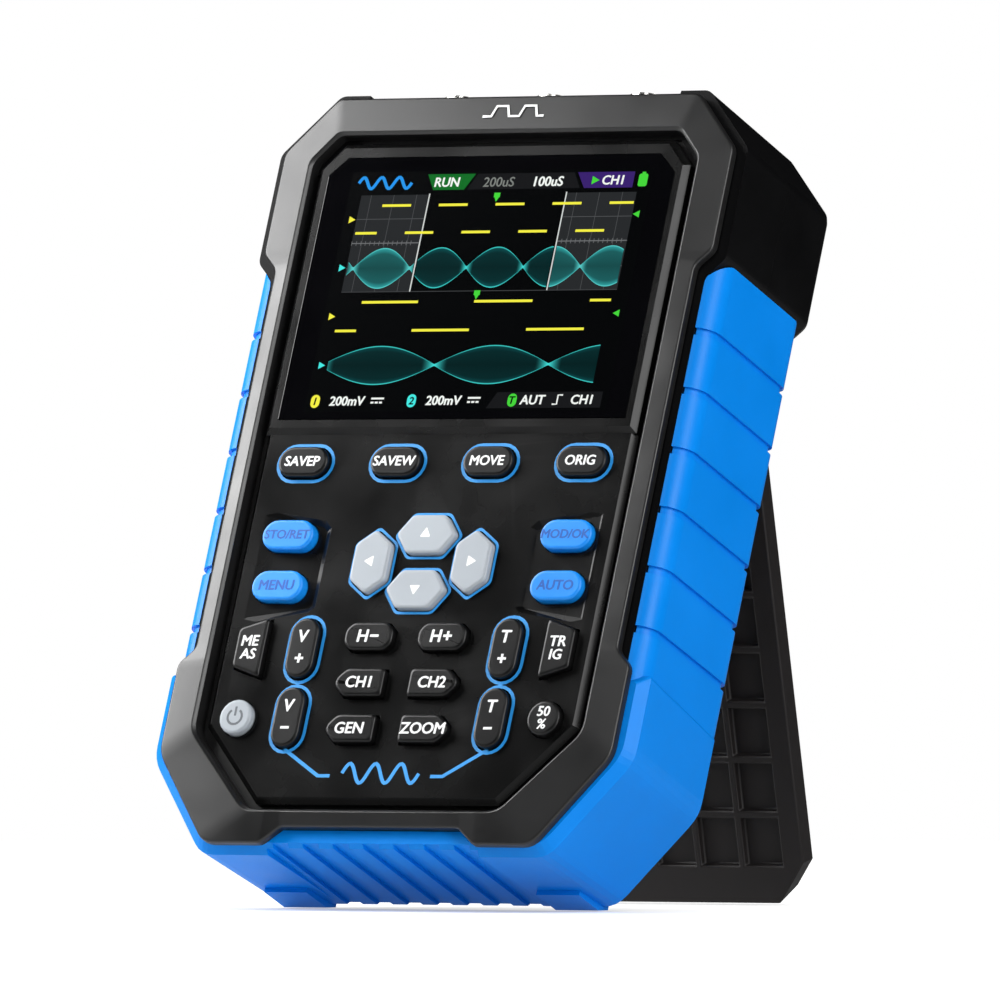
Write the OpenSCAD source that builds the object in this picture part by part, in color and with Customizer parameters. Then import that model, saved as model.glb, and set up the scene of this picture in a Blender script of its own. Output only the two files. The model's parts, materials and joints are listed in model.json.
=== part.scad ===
// Handheld tablet oscilloscope on its fold-out stand.
// The case is drawn upright in its own axes and then leaned back onto the stand:
//   x = across, y = depth behind the key tops, z = up along the case.

/* [Case] */
// Width of the front bezel
bezel_w = 106; // [104:0.5:132]
// Height of the top edge of the bezel above the case datum
case_top = 165.5; // [160:0.5:200]
// Depth of the case behind the key tops
case_d = 41; // [40:0.5:48]
// Angle at which the case leans back on its stand
lean = 22; // [15:1:28]
// How much narrower the bezel is on each side at the hand grips
waist_inset = 3.5; // [2:0.25:4]
// Height of the shoulders above the hand grips
shoulder_z = 131; // [124:0.5:140]
// Height of the lower shoulders
hip_z = 40.5; // [36:0.5:46]
// Wall thickness of the housing
wall = 2.4; // [2:0.1:2.8]
// Depth of the joint between the middle frame and the rear cover
split_d = 21.5; // [19:0.5:23]

/* [Front] */
// Width of the front panel
panel_w = 87.2; // [84:0.2:88]
// Height of the panel's lower edge
panel_bottom = 10.5; // [10:0.1:12]
// Height of the panel's upper edge
panel_top = 155.2; // [150:0.1:188]
// Gap between panel and bezel
panel_gap = 1.8; // [1:0.1:2.2]
// Width of the lip between the glass and the bevel of the panel
lip_w = 1.8; // [1:0.1:2.5]
// Height of the screen glass
glass_h = 58; // [48:0.2:60]
// Thickness of the screen glass
glass_t = 1.1; // [0.8:0.1:1.4]

/* [Keys] */
// How far the keys stand proud of the panel
key_proud = 1.5; // [1.2:0.1:2]
// Travel of every key
key_travel = 0.8; // [0.4:0.1:0.9]
// Clearance round a key cap in its hole
key_gap = 0.25; // [0.15:0.05:0.35]
// Width of an oval key
oval_w = 11.6; // [9:0.1:13]
// Height of an oval key
oval_h = 6.5; // [5:0.1:7.5]
// Diameter of a round key
round_key_d = 7.5; // [6:0.1:8.5]

/* [Grip sleeve] */
// Thickness of the sleeve at the hand grips
grip_t = 3.9; // [3:0.1:4.5]
// Radius of the front edge of the hand grips
grip_r = 4.8; // [3:0.1:5]
// Number of grooves in each hand grip
grip_grooves = 6; // [3:1:7]
// Distance between the grooves of a hand grip
groove_pitch = 12.96; // [9:0.01:13]
// Number of ribs under the sleeve
foot_ribs = 7; // [3:1:7]
// Height of the feet under the sleeve
foot_h = 1.4; // [1:0.1:2]

/* [Stand] */
// Width of the stand
stand_w = 80.5; // [64:0.5:81]
// Thickness of the stand
stand_t = 4.5; // [4:0.1:4.6]
// Angle between the open stand and the vertical
splay = 12.9; // [9:0.1:16]
// Height of the hinge pin in the case
hinge_z = 137; // [133:0.5:140]
// Diameter of the hinge pins
pin_d = 2.4; // [1.8:0.1:2.6]
// Radial clearance of the hinge pins in the stand
pin_fit = 0.05; // [0.02:0.01:0.1]

/* [Inside] */
// Length of the battery pack
cell_l = 92; // [60:1:100]
// Width of the battery pack
cell_w = 58; // [40:1:60]
// Thickness of the battery pack
cell_t = 10; // [7:0.5:11]
// Length of the threaded barrel and bayonet of a BNC jack
bnc_l = 12; // [10:0.5:14]
// Distance between neighbouring BNC jacks
bnc_pitch = 22; // [21.5:0.5:24]

/* [Hidden] */
KEY_NODES = ["key_save_picture", "key_save_wave", "key_move", "key_origin", "key_store",
    "key_menu", "key_ok", "key_auto", "key_left", "key_right", "key_up", "key_down",
    "key_measure", "key_trigger", "key_v_up", "key_v_down", "key_t_up", "key_t_down",
    "key_h_minus", "key_h_plus", "key_ch1", "key_ch2", "key_gen", "key_zoom",
    "key_power", "key_level"];

$fn = 48;
eps = 0.01;
thin = 0.3;            // clearance between nested pieces

// colours
black = "#1d1e20";
satin = "#2e3033";
blue = "#1482eb";
grey = "#a5acb4";
steel = "#b8bcc2";

// depths of the front pieces, all behind the key tops
crown_drop = 1.0;      // outer edge of the sloped crown
bezel_side = 3.0;      // depth of the bezel's outer wall
panel_face = key_proud;
glass_face = 0.3;
lip_d = 0.4;
panel_bevel = 1.2;
panel_back = 4.2;
ledge_t = 1.8;
ledge_in = 2.6;
skirt_end = 9;
frame_front = bezel_side + thin;
key_flange_d = panel_back + 0.1;
key_flange_t = 0.8;
key_flange_w = 0.6;
mat_d = key_flange_d + key_flange_t + key_travel + 0.3;
mat_t = 0.8;
keyboard_d = mat_d + mat_t + 0.1;
keyboard_t = 1.6;
lcd_d = panel_back + 0.2;
lcd_t = 3;
board_d = 13;
board_t = 1.6;

// half widths
bezel_hw = bezel_w / 2;
waist_hw = bezel_hw - waist_inset;
panel_hw = panel_w / 2;
open_hw = panel_hw + panel_gap;
crown_in = 0.7;        // width of the chamfer inside the crown
glass_hw = panel_hw - panel_bevel - lip_w + 0.3;
frame_hw = bezel_hw + 2.2;
core_hw = waist_hw + 1.6;
skirt_hw = waist_hw - 1.6;
grip_hw = core_hw + grip_t;
hip_hw = bezel_hw + 3.3;

// heights
corner_z = 12;         // height of the chamfered top corners
corner_x = 10.5;       // width of the chamfered top corners
horn_h = 1.5;          // how far the horns rise over the bezel
horn_hw = bezel_hw - 16.5;
horn_top = case_top + horn_h;
deck_z = case_top - 7; // floor of the connector recess
bezel_low = 1.6;
notch_z = 5.1;
notch_hw = 20.7;
hip_low_z = 21;
toe_hw = bezel_hw - 14.5;
core_low = 5.2;
core_toe = bezel_hw - 15;
shell_inner_top = deck_z - wall;
inner_low = core_low + wall + 0.8;
sleeve_top = shoulder_z - 5.2;
sleeve_low = 0.4;
sleeve_toe = bezel_hw - 12.3;
sleeve_rear = case_d - 3.5;
sleeve_draft = 1.2;
cover_rear = case_d - 7;
pocket_hw = stand_w / 2 + 1;
pocket_top = hinge_z + 5;
glass_top = panel_top - 3.4;
glass_low = glass_top - glass_h;
pin_l = 9;
hinge_d = cover_rear + 0.4 + stand_t / 2;
hinge_wall = 3;        // how far each pin reaches into the cover

// place of the case above the ground
foot_z = sleeve_low + sleeve_draft;
lift = sleeve_rear * sin(lean) - foot_z * cos(lean);
hinge_y = hinge_z * sin(lean) + hinge_d * cos(lean);
hinge_h = hinge_z * cos(lean) - hinge_d * sin(lean) + lift;
stand_l = (hinge_h - stand_t / 2) / cos(splay);   // hinge pin to the centre of the rounded end
stand_open = lean + splay;
front_y = bezel_low * sin(lean) + crown_drop * cos(lean);
back_y = hinge_y + stand_l * sin(splay) + stand_t / 2;
mid_y = (front_y + back_y) / 2;

corner_steps = 4;
frame_cut = 1.2;
hip_cuts = [0.8, 3, 3];

// ---- outlines, listed from top centre down the right side ----

function mirrored(half) = concat(half,
    [for (i = [len(half) - 1:-1:0]) [-half[i][0], half[i][1]]]);

// an octagon-like outline: half width, top, bottom, corner sizes [x, z]
function octagon(hw, top, low, tc, lc) = mirrored([[hw - tc[0], top], [hw, top - tc[1]],
    [hw, low + lc[1]], [hw - lc[0], low]]);

function unit(v) = v / norm(v);
function outward(a, b) = let (e = unit(b - a)) [-e[1], e[0]];

// moves every side of an outline inward by d, with mitred corners
function inset(p, d) = let (n = len(p)) [for (i = [0:n - 1])
    let (m = outward(p[(i + n - 1) % n], p[i]),
        k = outward(p[i], p[(i + 1) % n]))
    p[i] - d * (m + k) / (1 + m * k)];

// rounds the corners of an outline; cut is how far from each corner the curve starts
function soft(p, cut) = let (n = len(p)) [for (i = [0:n - 1])
    let (c = is_list(cut) ? cut[min(i, n - 1 - i)] : cut,
        a = p[i] + c * unit(p[(i + n - 1) % n] - p[i]),
        b = p[i] + c * unit(p[(i + 1) % n] - p[i]))
    for (t = [0:1 / corner_steps:1]) (1 - t) ^ 2 * a + 2 * t * (1 - t) * p[i] + t ^ 2 * b];

bezel_outline = mirrored([[bezel_hw - corner_x, case_top], [bezel_hw, case_top - corner_z],
    [bezel_hw, shoulder_z], [waist_hw, shoulder_z - waist_inset],
    [waist_hw, hip_z + waist_inset], [bezel_hw, hip_z], [bezel_hw, hip_low_z],
    [toe_hw, bezel_low], [toe_hw - 13.5, bezel_low], [notch_hw, notch_z]]);

open_top = panel_top + panel_gap;
open_low = panel_bottom - panel_gap;
open_toe = open_hw - 15.6;
crown_top = open_top + crown_in;
crown_hw = open_hw + crown_in;
crown_outline = mirrored([[crown_hw - 5.6, crown_top], [crown_hw, crown_top - 6.4],
    [crown_hw, shoulder_z], [crown_hw, shoulder_z - waist_inset],
    [crown_hw, hip_z + waist_inset], [crown_hw, hip_z], [crown_hw, hip_low_z + 4.4],
    [open_toe, open_low - crown_in], [toe_hw - 13.5, open_low - crown_in],
    [notch_hw, open_low - crown_in]]);

panel_outline = octagon(panel_hw, panel_top, panel_bottom, [4.8, 5.5], [15.2, 16.6]);
platform_outline = mirrored([[panel_hw - 4.8, panel_top], [panel_hw, panel_top - 5.5],
    [panel_hw, glass_low - lip_w - panel_bevel]]);
open_outline = inset(panel_outline, -panel_gap);
ledge_outline = inset(open_outline, ledge_in + panel_gap - panel_bevel);
skirt_outline = octagon(skirt_hw, shell_inner_top - thin, inner_low + thin, [9, 10], [11, 14]);
cavity_outline = inset(skirt_outline, -thin);
glass_outline = mirrored([[glass_hw - 4, glass_top], [glass_hw, glass_top - 4],
    [glass_hw, glass_low]]);

frame_outline = mirrored([[frame_hw - corner_x - 1.2, horn_top],
    [frame_hw, horn_top - corner_z - 1], [frame_hw, shoulder_z - 1.2],
    [core_hw, shoulder_z - 1.2 - (frame_hw - core_hw)],
    [core_hw, hip_low_z + 2], [core_toe, core_low]]);
block_outline = mirrored([[frame_hw - corner_x - 1.2, horn_top],
    [frame_hw, horn_top - corner_z - 1], [frame_hw, shoulder_z - 1.2],
    [core_hw + 0.6, shoulder_z - 0.6 - (frame_hw - core_hw)]]);
deck_outline = mirrored([[horn_hw + 1, horn_top + 5], [horn_hw - 1, deck_z]]);
hip_outline = mirrored([[hip_hw, hip_z - 1], [hip_hw, hip_low_z], [sleeve_toe, sleeve_low]]);
core_outline = inset(frame_outline, -thin / 2);

// ---- shared shapes ----

// a plate with the given outline between two depths
module slab(points, d0, d1) {
    translate([0, d1, 0]) rotate([90, 0, 0]) linear_extrude(d1 - d0) polygon(points);
}

// a solid through outlines of equal length, listed as [points, depth] from front to back
module loft(levels) {
    n = len(levels[0][0]);
    last = len(levels) - 1;
    polyhedron(
        points = [for (l = levels) for (p = l[0]) [p[0], l[1], p[1]]],
        faces = concat([[for (i = [0:n - 1]) i]],
            [[for (i = [n - 1:-1:0]) last * n + i]],
            [for (k = [0:last - 1]) for (i = [0:n - 1]) let (j = (i + 1) % n)
                [k * n + i, (k + 1) * n + i, (k + 1) * n + j, k * n + j]]));
}

// a straight pin along the depth
module peg(x, z, r, d0, d1) {
    translate([x, d1, z]) rotate([90, 0, 0]) cylinder(r = r, h = d1 - d0);
}

module box(x0, x1, d0, d1, z0, z1) {
    translate([x0, d0, z0]) cube([x1 - x0, d1 - d0, z1 - z0]);
}

// puts the upright case in its leaning place
module in_place() {
    translate([0, -mid_y, lift]) rotate([-lean, 0, 0]) children();
}

// ---- keys ----

outer_x = panel_hw - 7.5;
wide_x = panel_hw - 10.9;
pair_x = 23.8;
inner_x = 8.6;
row1_x = 10.9;
row1_z = glass_low - 9.3;
pad_z = 62.5;
pad_x = 11.8;
pad_dz = 6;
store_z = 68.4;
menu_z = 57.3;
top_row_z = 46.2;
mid_row_z = 36.2;
low_row_z = 26.2;
up_z = 43.7;
down_z = 28.6;

// flat outlines of the pointed keys
hex_wide = [[-7, 0], [-3.9, 4.2], [3.9, 4.2], [7, 0], [3.9, -4.2], [-3.9, -4.2]];
hex_tall = [[0, 7], [4.2, 3.9], [4.2, -3.9], [0, -7], [-4.2, -3.9], [-4.2, 3.9]];
tag_outline = [[-5.6, 0.8], [-3.4, 3], [5.6, 3], [5.6, -3], [-3.4, -3], [-5.6, -0.8]];
h_outline = [[-5.6, 1.4], [-4, 3], [4, 3], [5.6, 1.4], [5.6, -1.4], [4, -3], [-4, -3], [-5.6, -1.4]];
side_outline = [[-3.4, 4.2], [3.4, 6.4], [3.4, -6.4], [-3.4, -4.2]];

// [kind, x, z, outline]; kind is 0 for an oval or round key and 1 for a pointed one
// an oval has its width and height where a pointed key has its outline
KEYS = [
    [0, -outer_x + 3.4, row1_z, [oval_w, oval_h]],
    [0, -row1_x, row1_z, [oval_w, oval_h]],
    [0, row1_x, row1_z, [oval_w, oval_h]],
    [0, outer_x - 3.4, row1_z, [oval_w, oval_h]],
    [0, -wide_x, store_z, [oval_w + 0.4, oval_h]],
    [0, -wide_x, menu_z, [oval_w + 0.4, oval_h]],
    [0, wide_x, store_z, [oval_w + 0.4, oval_h]],
    [0, wide_x, menu_z, [oval_w + 0.4, oval_h]],
    [1, -pad_x, pad_z, hex_tall],
    [1, pad_x, pad_z, hex_tall],
    [1, 0, pad_z + pad_dz, hex_wide],
    [1, 0, pad_z - pad_dz, hex_wide],
    [1, -outer_x, up_z, side_outline],
    [1, outer_x, up_z, [for (p = side_outline) [-p[0], p[1]]]],
    [0, -pair_x, up_z, [oval_h, oval_w + 1.4]],
    [0, -pair_x, down_z, [oval_h, oval_w + 1.4]],
    [0, pair_x, up_z, [oval_h, oval_w + 1.4]],
    [0, pair_x, down_z, [oval_h, oval_w + 1.4]],
    [1, -inner_x, top_row_z, h_outline],
    [1, inner_x, top_row_z, h_outline],
    [1, -inner_x, mid_row_z, tag_outline],
    [1, inner_x, mid_row_z, [for (p = tag_outline) [-p[0], p[1]]]],
    [1, -inner_x, low_row_z, tag_outline],
    [1, inner_x, low_row_z, [for (p = tag_outline) [-p[0], p[1]]]],
    [0, -outer_x, down_z, [round_key_d, round_key_d]],
    [0, outer_x, down_z, [round_key_d, round_key_d]]];

key_bevel = 0.5;

// a bar with round ends (or a disc) of the given size between two depths
module oval(size, d0, d1) {
    r = min(size) / 2;
    run = max(size) / 2 - r;
    ends = size[0] > size[1] ? [[-run, 0], [run, 0]] : [[0, -run], [0, run]];
    translate([0, d1, 0]) rotate([90, 0, 0]) linear_extrude(d1 - d0) union() {
        for (e = ends) translate(e) circle(r);
        if (run > 0) square([size[0] > size[1] ? 2 * run : 2 * r,
            size[0] > size[1] ? 2 * r : 2 * run], center = true);
    }
}

// points of an outline in order round its centre, turned the way loft() expects
function clockwise(p) = let (n = len(p),
    area = [for (i = [0:n - 1]) p[i][0] * p[(i + 1) % n][1] - p[(i + 1) % n][0] * p[i][1]]
        * [for (i = p) 1])
    area > 0 ? [for (i = [n - 1:-1:0]) p[i]] : p;

// a key's shape grown by g between two depths
module key_shape(k, g, d0, d1) {
    translate([k[1], 0, k[2]])
        if (k[0] == 0) oval([k[3][0] + 2 * g, k[3][1] + 2 * g], d0, d1);
        else slab(inset(clockwise(k[3]), -g), d0, d1);
}

module key(i) {
    k = KEYS[i];
    tint = i == 24 || (i >= 8 && i < 12) ? grey : i >= 4 && i < 8 ? blue : black;
    color(tint) in_place() {
        key_shape(k, -key_bevel, 0, key_bevel);
        key_shape(k, 0, key_bevel, key_flange_d);
        key_shape(k, key_flange_w, key_flange_d, key_flange_d + key_flange_t);
    }
}

// ---- front ----

module front_bezel() {
    color(satin) in_place() difference() {
        union() {
            loft([[crown_outline, 0], [bezel_outline, crown_drop]]);
            slab(bezel_outline, crown_drop, bezel_side);
            slab(skirt_outline, crown_drop + 0.6, skirt_end);
        }
        slab(open_outline, -1, panel_back);
        slab(ledge_outline, panel_back - eps, skirt_end + 1);
        slab(inset(skirt_outline, 1.6), panel_back + ledge_t, skirt_end + 1);
        badge_blank(0.6, 0.1);
        screw_holes(panel_back + ledge_t, skirt_end + 1, 0.9);
    }
}

// the badge plate's shape, with its floor at the given depth and grown by g
module badge_blank(t, g) {
    slope = atan(crown_drop / (case_top - crown_top));
    translate([0, crown_drop, case_top]) rotate([slope, 0, 0])
        slab(inset(mirrored([[17.8, -1], [15.4, -6.2]]), -g), -t - 0.01, t);
}

module badge_plate() {
    slope = atan(crown_drop / (case_top - crown_top));
    color("#3a3440") in_place() translate([0, crown_drop, case_top]) rotate([slope, 0, 0])
        slab(mirrored([[17.8, -1], [15.4, -6.2]]), -0.15, 0.55);
}

pod_x = panel_hw - 20.2;
pod_end = panel_hw - 3;
pod_depth = 0.9;
pod_outline = [[pod_end, store_z + 6], [pod_x + 1.6, store_z + 3.6], [pod_x, store_z + 2],
    [pod_x, menu_z - 4.3], [pod_x + 1.4, menu_z - 5.5], [pod_end, menu_z - 8.1]];

// hollow round the blue keys on the right side, deepest at its inner end
module pod_hollow() {
    slope = atan(pod_depth / (pod_end - pod_x));
    hull() {
        slab(inset(clockwise(pod_outline), -0.4), panel_face - 0.3, panel_face - 0.3 + eps);
        translate([pod_end, panel_face, 0]) rotate([0, 0, -slope]) translate([-pod_end, 0, 0])
            slab(inset(clockwise(pod_outline), 1.3), 0, eps);
    }
}

module front_panel() {
    lcd_x = glass_hw - 3;
    color(satin) in_place() difference() {
        union() {
            loft([[inset(panel_outline, panel_bevel), panel_face],
                [panel_outline, panel_face + panel_bevel], [panel_outline, panel_back]]);
            loft([[inset(platform_outline, panel_bevel), lip_d],
                [platform_outline, lip_d + panel_bevel], [platform_outline, panel_back]]);
        }
        slab(inset(glass_outline, -0.1), -1, glass_face + glass_t + 0.05);
        box(-lcd_x, lcd_x, -1, 9, glass_low + 3, glass_top - 3);
        for (k = KEYS) key_shape(k, key_gap, -1, 9);
        pod_hollow();
        mirror([1, 0, 0]) pod_hollow();
    }
}

module screen_glass() {
    color("#050607") in_place() slab(glass_outline, glass_face, glass_face + glass_t);
}

module lcd_module() {
    lcd_x = glass_hw - 1.6;
    color("#6f747a") in_place() {
        box(-lcd_x, lcd_x, lcd_d, lcd_d + lcd_t, glass_low + 1, glass_top - 1);
    }
}

module lcd_ribbon() {
    z0 = glass_low + 1;
    color("#c77b2c") in_place() {
        box(-8, 8, lcd_d + 0.6, lcd_d + 0.8, z0 - 5.4, z0);
        box(-8, 8, lcd_d + 0.8, board_d - 0.2, z0 - 5.4, z0 - 5.2);
        box(-8, 8, board_d - 0.2, board_d, z0 - 5.4, z0 + 2);
    }
}

module keypad_mat() {
    color("#c9ccd0") in_place() difference() {
        box(-panel_hw + 4, panel_hw - 4, mat_d, mat_d + mat_t, low_row_z - 9, row1_z + 5.5);
        for (s = [-1, 1]) slab(clockwise([[s * (panel_hw - 3), low_row_z - 10],
            [s * (panel_hw - 3), low_row_z - 1.5], [s * (panel_hw - 13), low_row_z - 10]]), 0, 20);
        box(-9, 9, 0, 20, row1_z + 3.6, row1_z + 9);
    }
}

module keypad_board() {
    color("#1f5a3a") in_place() difference() {
        box(-panel_hw + 4, panel_hw - 4, keyboard_d, keyboard_d + keyboard_t,
            low_row_z - 9, row1_z + 5.5);
        for (s = [-1, 1]) slab(clockwise([[s * (panel_hw - 3), low_row_z - 10],
            [s * (panel_hw - 3), low_row_z - 1.5], [s * (panel_hw - 13), low_row_z - 10]]), 0, 20);
        box(-9, 9, 0, 20, row1_z + 3.6, row1_z + 9);
    }
}

// ---- housing ----

screw_r = 1.25;
screw_head_r = 2.3;
boss_r = 2.9;
screw_xz = [for (s = [-1, 1]) for (p = [[skirt_hw - 4.2, shell_inner_top - 15.2],
    [skirt_hw - 3.6, 84], [skirt_hw - 5, inner_low + 17.5]]) [s * p[0], p[1]]];
board_xz = [for (s = [-1, 1]) for (z = [30, 126]) [s * (skirt_hw - 9.5), z]];

module screw_holes(d0, d1, r) {
    for (p = screw_xz) peg(p[0], p[1], r, d0, d1);
}

module middle_frame() {
    boss_front = skirt_end + 0.4;
    color(black) in_place() difference() {
        union() {
            difference() {
                slab(soft(frame_outline, frame_cut), frame_front, split_d);
                slab(cavity_outline, 0, split_d + 1);
                slab(deck_outline, 0, split_d + 1);
            }
            intersection() {
                slab(inset(cavity_outline, -eps), boss_front, board_d - 0.1);
                for (p = board_xz) hull() {
                    peg(p[0], p[1], boss_r, boss_front, board_d - 0.1);
                    peg(p[0] + sign(p[0]) * 12, p[1], boss_r, boss_front, board_d - 0.1);
                }
            }
        }
        for (p = board_xz) peg(p[0], p[1], 0.9, boss_front - 1, board_d);
        for (x = [-bnc_pitch, 0, bnc_pitch]) bnc_hole(x);
        usb_hole();
    }
}

module rear_cover() {
    color(black) in_place() difference() {
        union() {
            loft([[soft(frame_outline, frame_cut), split_d + 0.05],
                [soft(frame_outline, frame_cut), cover_rear - 1],
                [soft(inset(frame_outline, 1), frame_cut), cover_rear]]);
            loft([[soft(block_outline, frame_cut), cover_rear - 8],
                [soft(block_outline, frame_cut), case_d - 2.2],
                [soft(inset(block_outline, 0.7), frame_cut), case_d - 0.7],
                [soft(inset(block_outline, 2.2), frame_cut), case_d]]);
        }
        difference() {
            slab(cavity_outline, split_d - 1, cover_rear - wall);
            for (p = screw_xz) peg(p[0], p[1], boss_r, split_d - 2, cover_rear);
        }
        slab(deck_outline, 0, case_d + 5);
        box(-pocket_hw, pocket_hw, cover_rear, case_d + 5, -5, pocket_top);
        screw_holes(split_d - 1, cover_rear - wall - 1.2, screw_r + 0.2);
        screw_holes(cover_rear - wall - 1.4, case_d + 2, screw_head_r + 0.2);
        for (s = [-1, 1]) translate([s * (pocket_hw + hinge_wall / 2), hinge_d, hinge_z])
            rotate([0, 90, 0]) cylinder(r = pin_d / 2, h = hinge_wall + eps, center = true);
    }
}

// ---- grip sleeve ----

sleeve_front = bezel_side + 0.1;
grip_rear_r = 3;

// cross-section of the hand grips, g smaller all round: across and depth, with rounded edges
module grip_section(g) {
    hw = grip_hw - g;
    r0 = grip_r - g;
    r1 = grip_rear_r - g;
    front = sleeve_front + g;
    rear = sleeve_rear - g;
    for (s = [-1, 1]) {
        translate([s * (hw - r0), front + r0]) circle(r0, $fn = 64);
        translate([s * (hw - r1), rear - r1]) circle(r1, $fn = 64);
    }
    translate([-hw + r0, front]) square([2 * (hw - r0), r0 + 1]);
    translate([-hw, front + r0]) square([2 * hw, rear - r1 - front - r0]);
    translate([-hw + r1, rear - r1 - 1]) square([2 * (hw - r1), r1 + 1]);
}

groove_w = 1.6;
groove_depth = 0.7;
rib_pitch = 7.08;
rib_gap = 3.7;
foot_x = 32;

module grip_sleeve() {
    opening = stand_w / 2 + 1.5;
    color(blue) in_place() difference() {
        union() {
            translate([0, 0, hip_low_z + 2]) linear_extrude(sleeve_top - hip_low_z + 2)
                grip_section(0);
            loft([[soft(inset(hip_outline, 2), hip_cuts), sleeve_front],
                [soft(hip_outline, hip_cuts), sleeve_front + 2],
                [soft(inset(hip_outline, sleeve_draft), hip_cuts), sleeve_rear - 2],
                [soft(inset(hip_outline, sleeve_draft + 2), hip_cuts), sleeve_rear]]);
            for (s = [-1, 1]) box(s * foot_x - 5, s * foot_x + 5, sleeve_rear - 12, sleeve_rear,
                foot_z - foot_h, foot_z + 3);
        }
        slab(soft(core_outline, frame_cut), 0, cover_rear + thin / 2);
        box(-opening, opening, 20, 60, core_low + 0.8, case_top);
        slab(mirrored([[core_hw + 10, case_top + 20], [core_hw + 10, sleeve_top + 9.6],
            [core_hw, sleeve_top - 0.4]]), 0, case_d);
        for (i = [0:grip_grooves - 1])
            translate([0, 0, hip_z + 8.6 + i * groove_pitch - groove_w / 2])
                linear_extrude(groove_w) difference() {
                    square([3 * grip_hw, 3 * case_d], center = true);
                    grip_section(groove_depth);
                }
        for (i = [0:foot_ribs - 1]) translate([(i - (foot_ribs - 1) / 2) * rib_pitch, 0, 0])
            box(-rib_gap / 2, rib_gap / 2, 0, 60, -5, sleeve_low + 1.9);
        box(-notch_hw - 4, notch_hw + 4, 0, 60, -5, sleeve_low + 1.1);
        translate([0, sleeve_rear, foot_z]) rotate([lean, 0, 0])
            translate([-60, -80, -20]) cube([120, 160, 20]);
    }
}

// ---- electronics ----

module main_board() {
    color("#14603c") in_place() difference() {
        slab(octagon(skirt_hw - 5.6, shell_inner_top - 7.4, inner_low + 6, [6, 8], [9, 12]),
            board_d, board_d + board_t);
        for (p = board_xz) peg(p[0], p[1], 1.3, board_d - 1, board_d + board_t + 1);
        for (p = screw_xz) peg(p[0], p[1], boss_r + 1.4, board_d - 1, board_d + board_t + 1);
    }
}

module battery_pack() {
    z0 = inner_low + 12;
    d0 = board_d + board_t + 2.4;
    color("#3f6fb0") in_place() {
        box(-cell_w / 2, cell_w / 2, d0, d0 + cell_t, z0, z0 + cell_l);
        box(-cell_w / 2 + 4, cell_w / 2 - 4, d0 + 1.5, d0 + cell_t - 1.5, z0 + cell_l, z0 + cell_l + 4);
    }
}

can_w = 30;
can_h = 22;
can_t = 5;

module shield_can(x) {
    z0 = shell_inner_top - 36.5;
    t = 0.3;
    color(steel) in_place() difference() {
        box(x - can_w / 2, x + can_w / 2, board_d + board_t, board_d + board_t + can_t, z0, z0 + can_h);
        box(x - can_w / 2 + t, x + can_w / 2 - t, board_d, board_d + board_t + can_t - t,
            z0 + t, z0 + can_h - t);
    }
}

bnc_d = 16.4;          // depth of the jack axes
bnc_flat_r = 6.2;
bnc_barrel_r = 4.8;

module bnc_hole(x) {
    translate([x, bnc_d, shell_inner_top - 5]) cylinder(r = 4.9, h = wall + 10);
}

module bnc_jack(x) {
    top = deck_z + bnc_l;
    color(steel) in_place() translate([x, bnc_d, 0]) difference() {
        union() {
            translate([0, 0, deck_z]) cylinder(r = bnc_flat_r, h = 1.6);
            translate([0, 0, deck_z + 1.5]) cylinder(r = bnc_barrel_r, h = bnc_l - 1.5);
            translate([0, 0, deck_z + bnc_l - 5]) rotate([0, 90, 0])
                cylinder(r = 1, h = 2 * 5.5, center = true);
            translate([0, 0, shell_inner_top - 5]) cylinder(r = 4.7, h = wall + 5.1);
            translate([-5, board_d + board_t - bnc_d, shell_inner_top - 12]) cube([10, 6, 7.2]);
        }
        translate([0, 0, deck_z - 1]) cylinder(r = 4.1, h = bnc_l + 2);
        translate([0, 0, shell_inner_top - 13]) cylinder(r = 2.6, h = 25);
    }
}

module bnc_insulators() {
    color("#f2f0e8") in_place() for (x = [-bnc_pitch, 0, bnc_pitch])
        translate([x, bnc_d, 0]) difference() {
            union() {
                translate([0, 0, shell_inner_top - 7]) cylinder(r = 2.6, h = deck_z - shell_inner_top + 6);
                translate([0, 0, deck_z - 1]) cylinder(r = 2.4, h = 7);
            }
            translate([0, 0, shell_inner_top - 8]) cylinder(r = 0.75, h = 40);
        }
}

module bnc_contacts() {
    color("#d9b24c") in_place() for (x = [-bnc_pitch, 0, bnc_pitch])
        translate([x, bnc_d, shell_inner_top - 9]) cylinder(r = 0.75, h = deck_z - shell_inner_top + 14);
}

module bnc_nuts() {
    color(steel) in_place() for (x = [-bnc_pitch, 0, bnc_pitch])
        translate([x, bnc_d, shell_inner_top - 2]) difference() {
            cylinder(r = 6.4, h = 1.9, $fn = 6);
            translate([0, 0, -1]) cylinder(r = 4.7, h = 5);
        }
}

usb_x = bnc_pitch / 2;
usb_d = board_d - 1.6;

module usb_hole() {
    translate([usb_x, usb_d, deck_z - 3]) {
        for (s = [-1, 1]) translate([s * 2.9, 0, -5]) cylinder(r = 1.75, h = 12);
        translate([-2.9, -1.75, -5]) cube([5.8, 3.5, 12]);
    }
}

module usb_c_port() {
    color(steel) in_place() translate([usb_x, usb_d, deck_z - 7.4]) difference() {
        union() {
            for (s = [-1, 1]) translate([s * 2.9, 0, 0]) cylinder(r = 1.6, h = 7.3);
            translate([-2.9, -1.6, 0]) cube([5.8, 3.2, 7.3]);
        }
        translate([0, 0, 1]) {
            for (s = [-1, 1]) translate([s * 2.9, 0, 0]) cylinder(r = 1.3, h = 7.3);
            translate([-2.9, -1.3, 0]) difference() {
                cube([5.8, 2.6, 7.3]);
                translate([0.3, 0.95, -1]) cube([5.2, 0.7, 6]);
            }
        }
    }
}

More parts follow.
